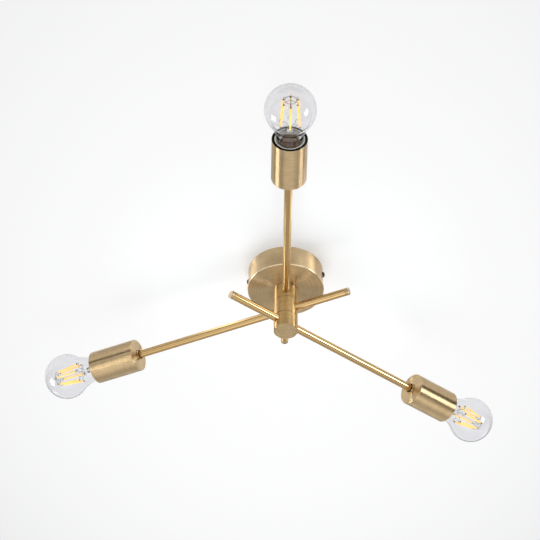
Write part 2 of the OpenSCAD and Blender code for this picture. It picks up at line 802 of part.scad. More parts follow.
centre_contact(2);  // centre_contact_3
bulb_glass(0);  // bulb_glass_1
bulb_glass(1);  // bulb_glass_2
bulb_glass(2);  // bulb_glass_3
bulb_cap(0);  // bulb_cap_1
bulb_cap(1);  // bulb_cap_2
bulb_cap(2);  // bulb_cap_3
bulb_tip(0);  // bulb_tip_1
bulb_tip(1);  // bulb_tip_2
bulb_tip(2);  // bulb_tip_3
bulb_stem(0);  // bulb_stem_1
bulb_stem(1);  // bulb_stem_2
bulb_stem(2);  // bulb_stem_3
bulb_filaments(0);  // bulb_filaments_1
bulb_filaments(1);  // bulb_filaments_2
bulb_filaments(2);  // bulb_filaments_3
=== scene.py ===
import json
import math

import bmesh
import bpy
from bpy.props import FloatProperty, FloatVectorProperty, IntProperty, PointerProperty
from bpy.types import Operator, Panel, PropertyGroup
from mathutils import Matrix, Vector


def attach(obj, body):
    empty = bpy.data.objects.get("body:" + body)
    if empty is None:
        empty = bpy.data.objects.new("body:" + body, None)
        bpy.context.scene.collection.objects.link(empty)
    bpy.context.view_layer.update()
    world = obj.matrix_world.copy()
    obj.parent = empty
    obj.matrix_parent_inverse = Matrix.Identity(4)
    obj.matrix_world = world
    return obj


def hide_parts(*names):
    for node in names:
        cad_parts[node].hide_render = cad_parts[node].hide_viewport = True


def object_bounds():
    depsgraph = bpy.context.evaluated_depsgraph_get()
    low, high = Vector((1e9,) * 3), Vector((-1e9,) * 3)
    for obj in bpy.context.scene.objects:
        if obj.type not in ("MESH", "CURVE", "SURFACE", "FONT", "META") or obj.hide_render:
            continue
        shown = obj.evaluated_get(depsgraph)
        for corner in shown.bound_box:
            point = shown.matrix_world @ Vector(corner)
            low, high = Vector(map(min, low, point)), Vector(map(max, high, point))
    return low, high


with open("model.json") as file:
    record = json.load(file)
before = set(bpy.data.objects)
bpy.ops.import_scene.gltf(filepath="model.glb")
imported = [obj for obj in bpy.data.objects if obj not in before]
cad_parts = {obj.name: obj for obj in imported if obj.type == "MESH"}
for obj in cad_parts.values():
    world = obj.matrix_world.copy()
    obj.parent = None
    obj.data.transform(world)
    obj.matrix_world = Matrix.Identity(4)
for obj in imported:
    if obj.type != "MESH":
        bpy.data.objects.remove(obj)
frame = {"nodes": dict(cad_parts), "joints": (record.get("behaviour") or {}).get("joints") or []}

bl_info = {
    "name": "Semi flush ceiling light",
    "version": (1, 0, 0),
    "blender": (4, 5, 0),
    "location": "3D View > Sidebar > Ceiling light",
    "description": "Dresses a three arm brass ceiling light and its filament bulbs",
    "category": "Add Mesh",
}

CAD_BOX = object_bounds()
JOINTS = {joint["name"]: joint for joint in frame["joints"]}
ARMS = (1, 2, 3)
MM = 0.001
X = Vector((1, 0, 0))
Z = Vector((0, 0, 1))


# Settings

class CameraSettings(PropertyGroup):
    """Where the camera stands and how it looks up at the light."""
    place: FloatVectorProperty(
        name="Place", description="Where the camera stands, from the middle of the canopy's top",
        default=(0, -1.5339, -1.3988), subtype="TRANSLATION", unit="LENGTH")
    pitch: FloatProperty(
        name="Pitch", description="How far the camera looks up", default=math.radians(42.43),
        subtype="ANGLE")
    yaw: FloatProperty(
        name="Yaw", description="How far the camera looks to the right", default=math.radians(-0.76),
        subtype="ANGLE")
    roll: FloatProperty(
        name="Roll", description="How far the camera leans to the left", default=math.radians(0.47),
        subtype="ANGLE")
    lens: FloatProperty(
        name="Lens", description="Focal length", default=106.79, unit="CAMERA")


class StageSettings(PropertyGroup):
    """The ceiling that the light hangs from, and the studio round it."""
    ceiling_w: FloatProperty(
        name="Ceiling width", description="Side of the square of ceiling", default=6,
        unit="LENGTH")
    ceiling_colour: FloatVectorProperty(
        name="Ceiling", description="Colour of the ceiling", default=(1, 1, 1), size=3,
        subtype="COLOR")
    ceiling_level: FloatProperty(
        name="Ceiling level", description="How pale the ceiling is in the middle, where 1 is white",
        default=0.985, subtype="FACTOR")
    # Painted shade that darkens the ceiling towards the edges of the picture
    ceiling_edge: FloatProperty(
        name="Ceiling edge", description="How much darker the ceiling is at the edge of the picture",
        default=0.055, subtype="FACTOR")
    near_veil: FloatProperty(
        name="Veil near", description="How far the ceiling's own paleness fills the shadow of the canopy",
        default=0.22, subtype="FACTOR")
    far_veil: FloatProperty(
        name="Veil far", description="How far the ceiling's own paleness fills shadows away from the canopy",
        default=0.92, subtype="FACTOR")
    room: FloatProperty(
        name="Room light", description="Strength of the light that comes from all round",
        default=0.69)
    behind: FloatProperty(
        name="Lamp behind", description="Strength of the lamp that casts the canopy's shadow forward",
        default=3.9)


class BrassSettings(PropertyGroup):
    """The brass of the canopy, hubs, rods and cups."""
    satin: FloatVectorProperty(
        name="Satin brass", description="Colour of the brushed brass", default=(0.68, 0.5, 0.27),
        size=3, subtype="COLOR")
    satin_dark: FloatVectorProperty(
        name="Satin brass, dark", description="Colour in the deeper brush lines",
        default=(0.5, 0.355, 0.18), size=3, subtype="COLOR")
    polished: FloatVectorProperty(
        name="Polished brass", description="Colour of the rods", default=(0.62, 0.42, 0.19),
        size=3, subtype="COLOR")
    satin_roughness: FloatProperty(
        name="Satin roughness", description="Roughness of the brushed brass", default=0.36,
        subtype="FACTOR")
    polished_roughness: FloatProperty(
        name="Polished roughness", description="Roughness of the rods", default=0.13,
        subtype="FACTOR")
    spread: FloatProperty(
        name="Brush spread", description="How far brushing spreads a highlight across its lines",
        default=1.0, subtype="FACTOR")
    line: FloatProperty(
        name="Brush line", description="Width of one brush line", default=0.16 * MM,
        subtype="DISTANCE", unit="LENGTH", precision=6)
    band: FloatProperty(
        name="Brush band", description="Width of a band of like brush lines", default=2.2 * MM,
        subtype="DISTANCE", unit="LENGTH", precision=6)
    depth: FloatProperty(
        name="Brush depth", description="Depth of the brush lines", default=0.004 * MM,
        subtype="DISTANCE", unit="LENGTH", precision=6)
    # Edges are mixed towards a pale colour over this width: partly real wear, partly a painted highlight
    # along them.
    edge: FloatProperty(
        name="Worn edge", description="Width over which edges are worn bright", default=0.35 * MM,
        subtype="DISTANCE", unit="LENGTH", precision=6)


class BulbSettings(PropertyGroup):
    """The bulbs' clear glass and what it holds."""
    glass: FloatVectorProperty(
        name="Glass", description="Tint of the clear glass", default=(0.9, 0.9, 0.915), size=3,
        subtype="COLOR")
    coating: FloatVectorProperty(
        name="Coating", description="Colour of the filaments' coating", default=(1.0, 0.62, 0.14),
        size=3, subtype="COLOR")
    glow: FloatProperty(
        name="Glow", description="How strongly the filaments glow", default=0.7)
    filaments: IntProperty(
        name="Filaments", description="How many filaments a bulb holds", default=6, min=2)
    filament_d: FloatProperty(
        name="Filament", description="Diameter of a filament", default=2.3 * MM, unit="LENGTH",
        precision=5)
    wire_d: FloatProperty(
        name="Wire", description="Diameter of the wires that hold the filaments",
        default=0.55 * MM, unit="LENGTH", precision=5)


class CeilingLightSettings(PropertyGroup):
    """Everything that a user would change."""
    camera: PointerProperty(type=CameraSettings)
    stage: PointerProperty(type=StageSettings)
    brass: PointerProperty(type=BrassSettings)
    bulb: PointerProperty(type=BulbSettings)


# Places

def arm_place(n):
    """Turns arm coordinates, with X out along the arm from the hubs' axis, into the frame's."""
    joint = JOINTS[f"bulb_{n}_turn"]
    along = Vector(joint["axis"]).normalized()
    turn = Matrix((along, Z.cross(along), Z)).transposed().to_4x4()
    return Matrix.Translation(Z * joint["pos_m"][2]) @ turn


def turning_place(n):
    """As arm_place, with Z out along the arm, for what was turned about the arm."""
    return arm_place(n) @ Matrix.Rotation(math.pi / 2, 4, "Y")


def along_arm(n, node):
    """How near and how far a node reaches along its arm, and its greatest radius there."""
    back = arm_place(n).inverted()
    points = [back @ v.co for v in frame["nodes"][node].data.vertices]
    reach = [p.x for p in points]
    return min(reach), max(reach), max(math.hypot(p.y, p.z) for p in points)


def canopy_radius():
    """The radius of the canopy's wall at the ceiling."""
    corners = [v.co for v in frame["nodes"]["canopy"].data.vertices]
    return max(math.hypot(corner.x, corner.y) for corner in corners if corner.z > -1 * MM)


# Node trees

FLAT_SHARE = 0.9
BEVEL_SAMPLES = 4
EDGE_SHARP = 0.8


def bare_tree(holder):
    """The emptied node tree of a new material or world."""
    holder.use_nodes = True
    holder.node_tree.nodes.clear()
    return holder.node_tree


def add(tree, kind, inputs=(), **settings):
    """Adds a node, with its settings, and fills its inputs with values or with other outputs."""
    node = tree.nodes.new("ShaderNode" + kind)
    for name, value in settings.items():
        setattr(node, name, value)
    for key, value in dict(inputs).items():
        if isinstance(value, bpy.types.NodeSocket):
            tree.links.new(value, node.inputs[key])
        else:
            node.inputs[key].default_value = value
    return node


def sum_of(tree, operation, *values):
    """The output of a Math node."""
    return add(tree, "Math", enumerate(values), operation=operation).outputs[0]


def vector_of(tree, operation, *values, output=0):
    """An output of a Vector Math node."""
    return add(tree, "VectorMath", enumerate(values), operation=operation).outputs[output]


def noise(tree, place, scale, detail=2.0, roughness=0.5):
    """A noise between 0 and 1."""
    inputs = {"Vector": place, "Scale": scale, "Detail": detail, "Roughness": roughness}
    return add(tree, "TexNoise", inputs).outputs[0]


def ranged(tree, value, low, high, to_low, to_high, **settings):
    """A value taken from one range to another and held there."""
    inputs = {"Value": value, "From Min": low, "From Max": high, "To Min": to_low, "To Max": to_high}
    return add(tree, "MapRange", inputs, **settings).outputs[0]


def grey_of(tree, level):
    """A grey whose level varies over the surface."""
    return add(tree, "CombineColor", dict.fromkeys(range(3), level)).outputs[0]


def mixed(tree, share, first, second, blend="MIX"):
    """A share of a second colour mixed into, or blended with, the first."""
    node = add(tree, "Mix", data_type="RGBA", blend_type=blend)
    for key, value in ((0, share), (6, first), (7, second)):
        if isinstance(value, bpy.types.NodeSocket):
            tree.links.new(value, node.inputs[key])
        elif key:
            node.inputs[key].default_value = (*value, 1)
        else:
            node.inputs[key].default_value = value
    return node.outputs[2]


def new_material(name, sockets):
    """A material with a Principled shader whose plain sockets are set."""
    material = bpy.data.materials.new(name)
    material.use_nodes = True
    tree = material.node_tree
    shader = tree.nodes["Principled BSDF"]
    for socket, value in sockets.items():
        shader.inputs[socket].default_value = value
    return material, tree, shader


def feed(tree, shader, outputs):
    """Links outputs to the sockets of a shader that they are named for."""
    for socket, output in outputs.items():
        tree.links.new(output, shader.inputs[socket])


def relief(tree, height, depth, strength=1.0, **normal):
    """A normal that follows a height."""
    inputs = {"Strength": strength, "Distance": depth, "Height": height, **normal}
    return add(tree, "Bump", inputs).outputs[0]


def own_point(tree, place):
    """The point being shaded, in the coordinates of a piece that was turned about its own Z."""
    back = place.inverted()
    inputs = {
        "Vector": add(tree, "TexCoord").outputs["Object"],
        "Location": back.translation,
        "Rotation": back.to_euler(),
    }
    return add(tree, "Mapping", inputs, vector_type="POINT").outputs[0]


def round_way(tree, point, place):
    """The way the tool ran round the piece, in world coordinates."""
    around = vector_of(tree, "CROSS_PRODUCT", tuple(Z), point)
    inputs = {"Vector": around, "Rotation": place.to_euler()}
    turned = add(tree, "Mapping", inputs, vector_type="VECTOR").outputs[0]
    return add(
        tree, "VectorTransform", {"Vector": turned}, vector_type="VECTOR",
        convert_from="OBJECT", convert_to="WORLD").outputs[0]


def own_normal(tree, place):
    """The way the surface of a turned piece faces, in the piece's own coordinates."""
    inputs = {
        "Vector": add(tree, "TexCoord").outputs["Normal"],
        "Rotation": place.inverted().to_euler(),
    }
    return add(tree, "Mapping", inputs, vector_type="VECTOR").outputs[0]


def facing_axis(tree, place, flat):
    """1 where the surface of a turned piece faces its own axis, and 0 where it faces out."""
    outward = vector_of(tree, "DOT_PRODUCT", own_normal(tree, place), flat, output="Value")
    return sum_of(tree, "LESS_THAN", outward, 0.0)


def flat_face(tree, place):
    """1 on the flat end faces of a turned piece, and 0 elsewhere."""
    along = add(tree, "SeparateXYZ", {0: own_normal(tree, place)}).outputs["Z"]
    return sum_of(tree, "GREATER_THAN", sum_of(tree, "ABSOLUTE", along), FLAT_SHARE)


def softened_edges(tree, width):
    """A softened normal, and how much of an edge there is at a point."""
    soft = add(tree, "Bevel", {"Radius": width}, samples=BEVEL_SAMPLES).outputs[0]
    sharp = add(tree, "NewGeometry").outputs["Normal"]
    same = vector_of(tree, "DOT_PRODUCT", soft, sharp, output="Value")
    return soft, ranged(tree, same, 1.0, EDGE_SHARP, 0.0, 1.0)


# Finishes

LACQUER_ROUGHNESS = 0.3
LINE_RUN, BAND_RUN, TURNED_RING_RUN = 2.5, 1.2, 0.25
LINE_SHARE, BAND_SHARE = 0.45, 0.55
TONE_RANGE = (0.3, 0.62)
CLOUD_SCALE = 90.0
CLOUD_RANGE = (0.35, 0.75)
EDGE_WEAR_AND_HIGHLIGHT = 0.8
EDGE_POLISH = 0.22
# Width and strength of the painted highlight round the canopy's rim
RIM_W = 0.3 * MM
RIM_HIGHLIGHT = 0.6
DULL_CLOUDS = 0.4
DULL_RANGE = (0.5, 0.95)
DULL_SHARES = (0.86, 1.16)
BAND_HEIGHT = 1.5
TURNED_RING_W = 2.4 * MM
MOUTH_START, MOUTH_FULL = 4.5 * MM, 4.2 * MM
MOUTH_DULL = 0.25


def turned_brass(name, place, look):
    """Brass that was turned or brushed round its axis. look holds its colours and how it is brushed."""
    brass = bpy.context.scene.ceiling_light.brass
    plain = {
        "Metallic": 1.0, "Anisotropic": look["spread"], "Anisotropic Rotation": 0.25,
        "Coat Weight": look.get("lacquer", 0.0), "Coat Roughness": LACQUER_ROUGHNESS,
    }
    material, tree, shader = new_material(name, plain)
    point = own_point(tree, place)
    flat = vector_of(tree, "MULTIPLY", point, (1, 1, 0))
    parts = add(tree, "SeparateXYZ", {0: point})
    radius = vector_of(tree, "LENGTH", flat, output="Value")
    across = sum_of(tree, "ADD", parts.outputs["Z"], radius)
    heading = vector_of(tree, "NORMALIZE", flat)

    def lines(width, run, detail):
        """Noise that runs in lines round the piece, each about a width across."""
        row = sum_of(tree, "DIVIDE", across, width * look["stretch"])
        step = add(tree, "CombineXYZ", {"Z": row}).outputs[0]
        lane = vector_of(tree, "SCALE", heading)
        lane.node.inputs["Scale"].default_value = run * look["stretch"]
        return noise(tree, vector_of(tree, "ADD", lane, step), 1.0, detail)

    fine = lines(brass.line, LINE_RUN, detail=2.0)
    bands = lines(brass.band, BAND_RUN, detail=3.0)
    clouds = noise(tree, point, CLOUD_SCALE, detail=3.0, roughness=0.6)
    soft, edge = softened_edges(tree, brass.edge)
    tone = sum_of(tree, "MULTIPLY_ADD", fine, LINE_SHARE, sum_of(tree, "MULTIPLY", bands, BAND_SHARE))
    base = mixed(tree, ranged(tree, tone, *TONE_RANGE, 0.0, 1.0), look["dark"], look["colour"])
    # Inner faces get a brighter colour: partly the part's own colour, partly painted light in the shaded
    # inside.
    if "inside" in look:
        inner = facing_axis(tree, place, flat)
        base = mixed(tree, inner, base, look["inside"])
        feed(tree, shader, {"Metallic": ranged(tree, inner, 0.0, 1.0, 1.0, look["inside_metal"])})
    if "mouth" in look:
        start, full = look["mouth"] - MOUTH_START, look["mouth"] - MOUTH_FULL
        at_mouth = ranged(tree, parts.outputs["Z"], start, full, 0.0, 1.0)
        base = mixed(tree, at_mouth, base, look["mouth_colour"])
    aged = mixed(tree, ranged(tree, clouds, *CLOUD_RANGE, 0.0, look["patina"]), base, look["aged"])
    # Edges are mixed towards a pale colour: partly real wear, partly a painted highlight along them.
    bright = mixed(tree, sum_of(tree, "MULTIPLY", edge, EDGE_WEAR_AND_HIGHLIGHT), aged, look["wear_and_highlight"])
    # A ring at the canopy's rim gets the pale colour: a painted highlight along the rim, which is also made
    # smoother there.
    if "rim" in look:
        rim = ranged(tree, radius, look["rim"], look["rim"] + RIM_W, 0.0, RIM_HIGHLIGHT)
        edge = sum_of(tree, "MAXIMUM", edge, rim)
        bright = mixed(tree, rim, bright, look["wear_and_highlight"])
    low, high = (look["roughness"] * share for share in DULL_SHARES)
    dull = sum_of(tree, "ADD", bands, sum_of(tree, "MULTIPLY", clouds, DULL_CLOUDS))
    rough = ranged(tree, dull, *DULL_RANGE, low, high)
    rough = sum_of(tree, "MULTIPLY_ADD", edge, -EDGE_POLISH, rough)
    if "mouth" in look:
        rough = sum_of(tree, "MULTIPLY_ADD", at_mouth, MOUTH_DULL, rough)
    height = sum_of(tree, "ADD", fine, sum_of(tree, "MULTIPLY", bands, BAND_HEIGHT))
    if "rings" in look:
        wide = lines(TURNED_RING_W, TURNED_RING_RUN, detail=1.0)
        ring = sum_of(tree, "MULTIPLY_ADD", wide, look["rings"] * 2, -look["rings"])
        height = sum_of(tree, "MULTIPLY_ADD", ring, flat_face(tree, place), height)
    feed(tree, shader, {
        "Base Color": bright, "Roughness": rough, "Tangent": round_way(tree, point, place),
        "Normal": relief(tree, height, look["depth"], Normal=soft),
    })
    return material


def satin_look():
    """Brushed brass of the canopy and cups."""
    brass = bpy.context.scene.ceiling_light.brass
    return {
        "colour": brass.satin, "dark": brass.satin_dark, "aged": (0.45, 0.32, 0.19),
        "wear_and_highlight": (0.95, 0.8, 0.54), "patina": 0.35, "roughness": brass.satin_roughness,
        "spread": brass.spread, "depth": brass.depth, "stretch": 1.0, "lacquer": 0.4, "rings": 18.0,
    }


def hub_look():
    """Brass of the hubs, a little brighter and yellower than the canopy's."""
    return {
        **satin_look(), "colour": (0.78, 0.53, 0.215), "dark": (0.55, 0.35, 0.125),
        "wear_and_highlight": (0.8, 0.58, 0.29), "roughness": 0.5, "lacquer": 0.25,
    }


def plate_look():
    """Satin brass of the plates that close the hubs."""
    return {**satin_look(), "colour": (0.76, 0.56, 0.29), "spread": 0.35, "roughness": 0.36, "rings": 1.5}


def polished_look():
    """Polished brass of the rods and their collars."""
    brass = bpy.context.scene.ceiling_light.brass
    return {
        "colour": brass.polished, "dark": (0.56, 0.37, 0.16), "aged": (0.55, 0.38, 0.18),
        "wear_and_highlight": (0.9, 0.74, 0.46), "patina": 0.25, "roughness": brass.polished_roughness,
        "spread": 0.6, "depth": brass.depth / 8, "stretch": 12.0,
    }


def plug_look():
    """Duller turned brass of the plugs in the rods' ends."""
    return {**satin_look(), "colour": (0.5, 0.37, 0.2), "dark": (0.34, 0.24, 0.12), "spread": 0.3}


TURNED_LOOKS = {
    # bright turned brass of the stems, nuts and screws inside
    "machined": {
        "colour": (0.78, 0.58, 0.28), "dark": (0.66, 0.47, 0.21), "aged": (0.6, 0.42, 0.2),
        "wear_and_highlight": (0.92, 0.78, 0.5), "patina": 0.2, "roughness": 0.24, "spread": 0.5,
    },
    # rolled copper alloy of the screw shells and contacts, warmer and brighter on its inner side: partly its
    # own colour, partly painted light in the shaded inside
    "copper": {
        "colour": (0.82, 0.46, 0.22), "dark": (0.6, 0.3, 0.13), "aged": (0.42, 0.24, 0.12),
        "wear_and_highlight": (0.95, 0.72, 0.5), "patina": 0.5, "roughness": 0.4, "spread": 0.3,
        "inside": (0.95, 0.45, 0.12), "inside_metal": 0.3,
    },
    # plating of the bulbs' caps, coppery on the inner side, where the bright copper is partly painted light
    # in the shaded inside
    "nickel": {
        "colour": (0.66, 0.63, 0.56), "dark": (0.52, 0.49, 0.43), "aged": (0.5, 0.42, 0.32),
        "wear_and_highlight": (0.86, 0.84, 0.8), "patina": 0.3, "roughness": 0.28, "spread": 0.3,
        "inside": (0.95, 0.46, 0.12), "inside_metal": 0.1,
    },
}


def turned_look(name):
    """A look from TURNED_LOOKS, with the brush lines of the brass."""
    depth = bpy.context.scene.ceiling_light.brass.depth
    return {**TURNED_LOOKS[name], "depth": depth, "stretch": 1.0}


PLAIN_FINISHES = {
    "black_phenolic": {
        "colour": (0.006, 0.006, 0.006), "second": (0.012, 0.011, 0.01), "roughness": 0.42,
        "grain": 0.5 * MM, "depth": 0.01 * MM, "sockets": {"Specular IOR Level": 0.08},
    },
    "black_fibre": {
        "colour": (0.02, 0.019, 0.018), "second": (0.045, 0.04, 0.035), "roughness": 0.8,
        "grain": 0.2 * MM, "depth": 0.03 * MM,
    },
    "blackened_steel": {
        "colour": (0.035, 0.032, 0.03), "second": (0.08, 0.065, 0.05), "roughness": 0.42,
        "grain": 0.3 * MM, "depth": 0.01 * MM, "sockets": {"Metallic": 0.7},
    },
    "zinc_steel": {
        "colour": (0.55, 0.56, 0.56), "second": (0.68, 0.68, 0.66), "roughness": 0.36,
        "grain": 2.5 * MM, "depth": 0.01 * MM, "sockets": {"Metallic": 1.0},
    },
    "pale_plating": {
        "colour": (0.88, 0.89, 0.82), "second": (0.76, 0.77, 0.7), "roughness": 0.42,
        "grain": 0.6 * MM, "depth": 0.01 * MM, "sockets": {"Metallic": 0.3},
    },
    "white_ceramic": {
        "colour": (0.82, 0.81, 0.76), "second": (0.88, 0.87, 0.84), "roughness": 0.4,
        "grain": 0.6 * MM, "depth": 0.01 * MM, "sockets": {"Coat Weight": 0.5, "Coat Roughness": 0.08},
    },
    "lead_insulation": {
        "colour": (0.74, 0.7, 0.6), "second": (0.84, 0.8, 0.7), "roughness": 0.55,
        "grain": 0.3 * MM, "depth": 0.02 * MM,
    },
    "black_glass": {
        "colour": (0.012, 0.012, 0.014), "second": (0.02, 0.02, 0.024), "roughness": 0.22,
        "grain": 1.0 * MM, "depth": 0.01 * MM, "sockets": {"Coat Weight": 0.4, "Coat Roughness": 0.05},
    },
    "lead_wire": {
        "colour": (0.15, 0.14, 0.135), "second": (0.24, 0.22, 0.2), "roughness": 0.38,
        "grain": 0.4 * MM, "depth": 0.01 * MM, "sockets": {"Metallic": 1.0},
    },
}
PLAIN_EDGE = 0.2 * MM
PATCH_GRAINS = 0.12
PATCH_RANGE = (0.35, 0.7)
PORE_RANGE = (0.3, 0.7)
PORE_SHARES = (0.85, 1.15)


def plain_finish(name):
    """A finish from PLAIN_FINISHES, with a fine grain and slight clouds of its second colour."""
    look = PLAIN_FINISHES[name]
    material, tree, shader = new_material(name, look.get("sockets", {}))
    where = add(tree, "TexCoord").outputs["Object"]
    pores = noise(tree, where, 1 / look["grain"], detail=4.0, roughness=0.6)
    clouds = noise(tree, where, PATCH_GRAINS / look["grain"], detail=3.0)
    tone = ranged(tree, clouds, *PATCH_RANGE, 0.0, 1.0)
    soft, _ = softened_edges(tree, PLAIN_EDGE)
    feed(tree, shader, {
        "Base Color": mixed(tree, tone, look["colour"], look["second"]),
        "Roughness": ranged(tree, pores, *PORE_RANGE, *(look["roughness"] * share for share in PORE_SHARES)),
        "Normal": relief(tree, pores, look["depth"], Normal=soft),
    })
    return material


OUTLINE_TINT = (0.42, 0.47, 0.46)
OUTLINE_POWER = 6.0
OUTLINE_SHARE = 0.6
RIPPLE_SCALE = 30.0
DUST_SCALE = 400.0
DUST_RANGE = (0.4, 0.8)
DUST_ROUGHNESS = 0.02


def clear_glass(name, tint, ripple):
    """Blown glass, faintly rippled, with painted shade that darkens its outline."""
    sockets = {"Base Color": (*tint, 1), "Transmission Weight": 1.0, "IOR": 1.5}
    material, tree, shader = new_material(name, sockets)
    where = add(tree, "TexCoord").outputs["Object"]
    # Painted shade: the glass is tinted darker where it is seen edge on.
    edge = add(tree, "LayerWeight", {"Blend": 0.5}).outputs["Facing"]
    outline = ranged(tree, sum_of(tree, "POWER", edge, OUTLINE_POWER), 0.0, 1.0, 0.0, OUTLINE_SHARE)
    dust = noise(tree, where, DUST_SCALE, detail=3.0)
    feed(tree, shader, {
        "Base Color": mixed(tree, outline, tint, OUTLINE_TINT),
        "Roughness": ranged(tree, dust, *DUST_RANGE, 0.0, DUST_ROUGHNESS),
        "Normal": relief(tree, noise(tree, where, RIPPLE_SCALE, detail=1.0), ripple),
    })
    return material


COATING_SHADE = (0.95, 0.8, 0.6)
COATING_SCALE = 2500.0
COATING_RANGE = (0.35, 0.65)
COATING_DEPTH = 0.04 * MM
COATING_RELIEF = 0.6


def coated_filament():
    """Amber coating of the filaments, deeper in its hollows, with a painted glow."""
    bulb = bpy.context.scene.ceiling_light.bulb
    sockets = {"Roughness": 0.5, "Subsurface Weight": 0.15, "Subsurface Scale": 0.4 * MM}
    material, tree, shader = new_material("amber_filament", sockets)
    where = add(tree, "TexCoord").outputs["Object"]
    grain = noise(tree, where, COATING_SCALE, detail=3.0)
    deep = tuple(channel * share for channel, share in zip(bulb.coating, COATING_SHADE))
    tone = mixed(tree, ranged(tree, grain, *COATING_RANGE, 0.0, 1.0), deep, bulb.coating)
    normal = relief(tree, grain, COATING_DEPTH, COATING_RELIEF)
    feed(tree, shader, {"Base Color": tone, "Emission Color": tone, "Normal": normal})
    # Painted glow: the filaments emit a little light of their own colour, though the bulbs are not lit.
    shader.inputs["Emission Strength"].default_value = bulb.glow
    return material


def finish_node(node, material):
    """Gives a CAD node its material."""
    piece = frame["nodes"][node]
    piece.data.materials.clear()
    piece.data.materials.append(material)


# Mesh making

def placed(name, data, place):
    """A thing of the scene, at its place."""
    thing = bpy.data.objects.new(name, data)
    thing.matrix_world = place
    bpy.context.scene.collection.objects.link(thing)
    return thing


def new_piece(name, body, material, build):
    """A mesh piece that build() fills, smooth, riding on a body."""
    mesh = bpy.data.meshes.new(name)
    made = bmesh.new()
    build(made)
    bmesh.ops.recalc_face_normals(made, faces=made.faces)
    made.to_mesh(mesh)
    made.free()
    mesh.polygons.foreach_set("use_smooth", [True] * len(mesh.polygons))
    mesh.materials.append(material)
    piece = placed(name, mesh, Matrix.Identity(4))
    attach(piece, body)
    return piece


def ring_round(made, middle, radius, side, other, sides):
    """A ring of vertices round a point, in the plane of two directions."""
    turns = (2 * math.pi * k / sides for k in range(sides))
    return [made.verts.new(middle + radius * (math.cos(a) * side + math.sin(a) * other)) for a in turns]


def join_rings(made, first, second):
    """Faces between two rings of vertices, of which one may be a single vertex repeated."""
    for k in range(len(first)):
        corners = dict.fromkeys((first[k], first[k - 1], second[k - 1], second[k]))
        if len(corners) > 2:
            made.faces.new(tuple(corners))


def tube(made, points, radii, sides):
    """A round tube along points, with a radius at each, closed at both ends."""
    rings = []
    side = None
    for i, point in enumerate(points):
        way = (points[min(i + 1, len(points) - 1)] - points[max(i - 1, 0)]).normalized()
        side = way.orthogonal() if side is None else side - way * side.dot(way)
        side.normalize()
        rings.append(ring_round(made, point, radii[i], side, way.cross(side), sides))
    for first, second in zip(rings, rings[1:]):
        join_rings(made, first, second)
    made.faces.new(rings[0])
    made.faces.new(rings[-1])


def loop_tube(made, points, radius, sides):
    """A round tube along a closed ring of points that lie in one plane."""
    middle = sum(points, Vector()) / len(points)
    rings = []
    for i, point in enumerate(points):
        way = (points[(i + 1) % len(points)] - points[i - 1]).normalized()
        side = (point - middle).normalized()
        rings.append(ring_round(made, point, radius, side, way.cross(side), sides))
    for i in range(len(points)):
        join_rings(made, rings[i - 1], rings[i])


def smooth_path(points, steps):
    """Points on a smooth curve through the ones given."""
    ends = [2 * points[0] - points[1], *points, 2 * points[-1] - points[-2]]
    path = [points[0]]
    for a, b, c, d in zip(ends, ends[1:], ends[2:], ends[3:]):
        for i in range(1, steps + 1):
            t = i / steps
            path.append(0.5 * (
                2 * b + (c - a) * t + (2 * a - 5 * b + 4 * c - d) * t ** 2
                + (3 * b - a - 3 * c + d) * t ** 3))
    return path


# Pieces

SENSOR_W = 36
CLIP_START, CLIP_END = 0.05, 50


class CEILING_LIGHT_OT_camera(Operator):
    """Stands the camera below the light and looks up at it"""
    bl_idname = "ceiling_light.camera"
    bl_label = "Camera"

    def execute(self, context):
        settings = context.scene.ceiling_light.camera
        data = bpy.data.cameras.new("camera")
        data.sensor_width = SENSOR_W
        data.lens = settings.lens
        data.clip_start, data.clip_end = CLIP_START, CLIP_END
        heading = Matrix.Rotation(-settings.yaw, 4, "Z")
        tilt = Matrix.Rotation(math.pi / 2 + settings.pitch, 4, "X")
        lean = Matrix.Rotation(settings.roll, 4, "Z")
        place = Matrix.Translation(settings.place) @ heading @ tilt @ lean
        context.scene.camera = placed("camera", data, place)
        return {"FINISHED"}


class CEILING_LIGHT_OT_stage(Operator):
    """Hangs the ceiling over the light and sets up the studio round it"""
    bl_idname = "ceiling_light.stage"
    bl_label = "Stage"

    def execute(self, context):
        settings = context.scene.ceiling_light.stage
        context.scene.view_settings.view_transform = "Standard"
        build_ceiling(settings)
        build_world(settings)
        for softbox in SOFTBOXES:
            build_softbox(**softbox)
        for card in GREY_CARDS:
            build_grey_card(**card)
        for pool in CEILING_POOLS:
            build_pool(**pool)
        build_lamp("behind", **LAMP_BEHIND, radiance=settings.behind)
        build_horizon()
        return {"FINISHED"}


LAMP_BEHIND = dict(azimuth=180, elevation=-52, away=1.6, wide=1.1, high=1.0)
SOFTBOXES = (
    dict(name="right", azimuth=77, elevation=-18, away=1.6, wide=0.65, high=0.75, radiance=11),
    dict(name="left", azimuth=-103, elevation=-18, away=1.6, wide=0.74, high=0.8, radiance=10),
)
FLAG_W = 0.6
FLAG_GREY = 0.1
CARD_GAP = 0.02
FEATHER_SHARE = 0.5
GREY_CARDS = (
    dict(name="front_line", azimuth=-30, elevation=-35, away=2.4, wide=1.3, high=0.24, grey=2.4),
    dict(name="front", azimuth=-15, elevation=-38, away=2.6, wide=2.4, high=2.3, grey=0.75),
    dict(name="below", azimuth=0, elevation=-86, away=2.4, wide=2.2, high=1.5, grey=1.7),
    dict(name="left_back", azimuth=-140, elevation=-14, away=1.9, wide=0.5, high=0.5, grey=2.4),
    dict(name="right_back", azimuth=139, elevation=-6, away=1.9, wide=0.45, high=0.45, grey=1.8),
    dict(name="back", azimuth=180, elevation=-40, away=2.5, wide=3.4, high=2.2, grey=0.58),
)
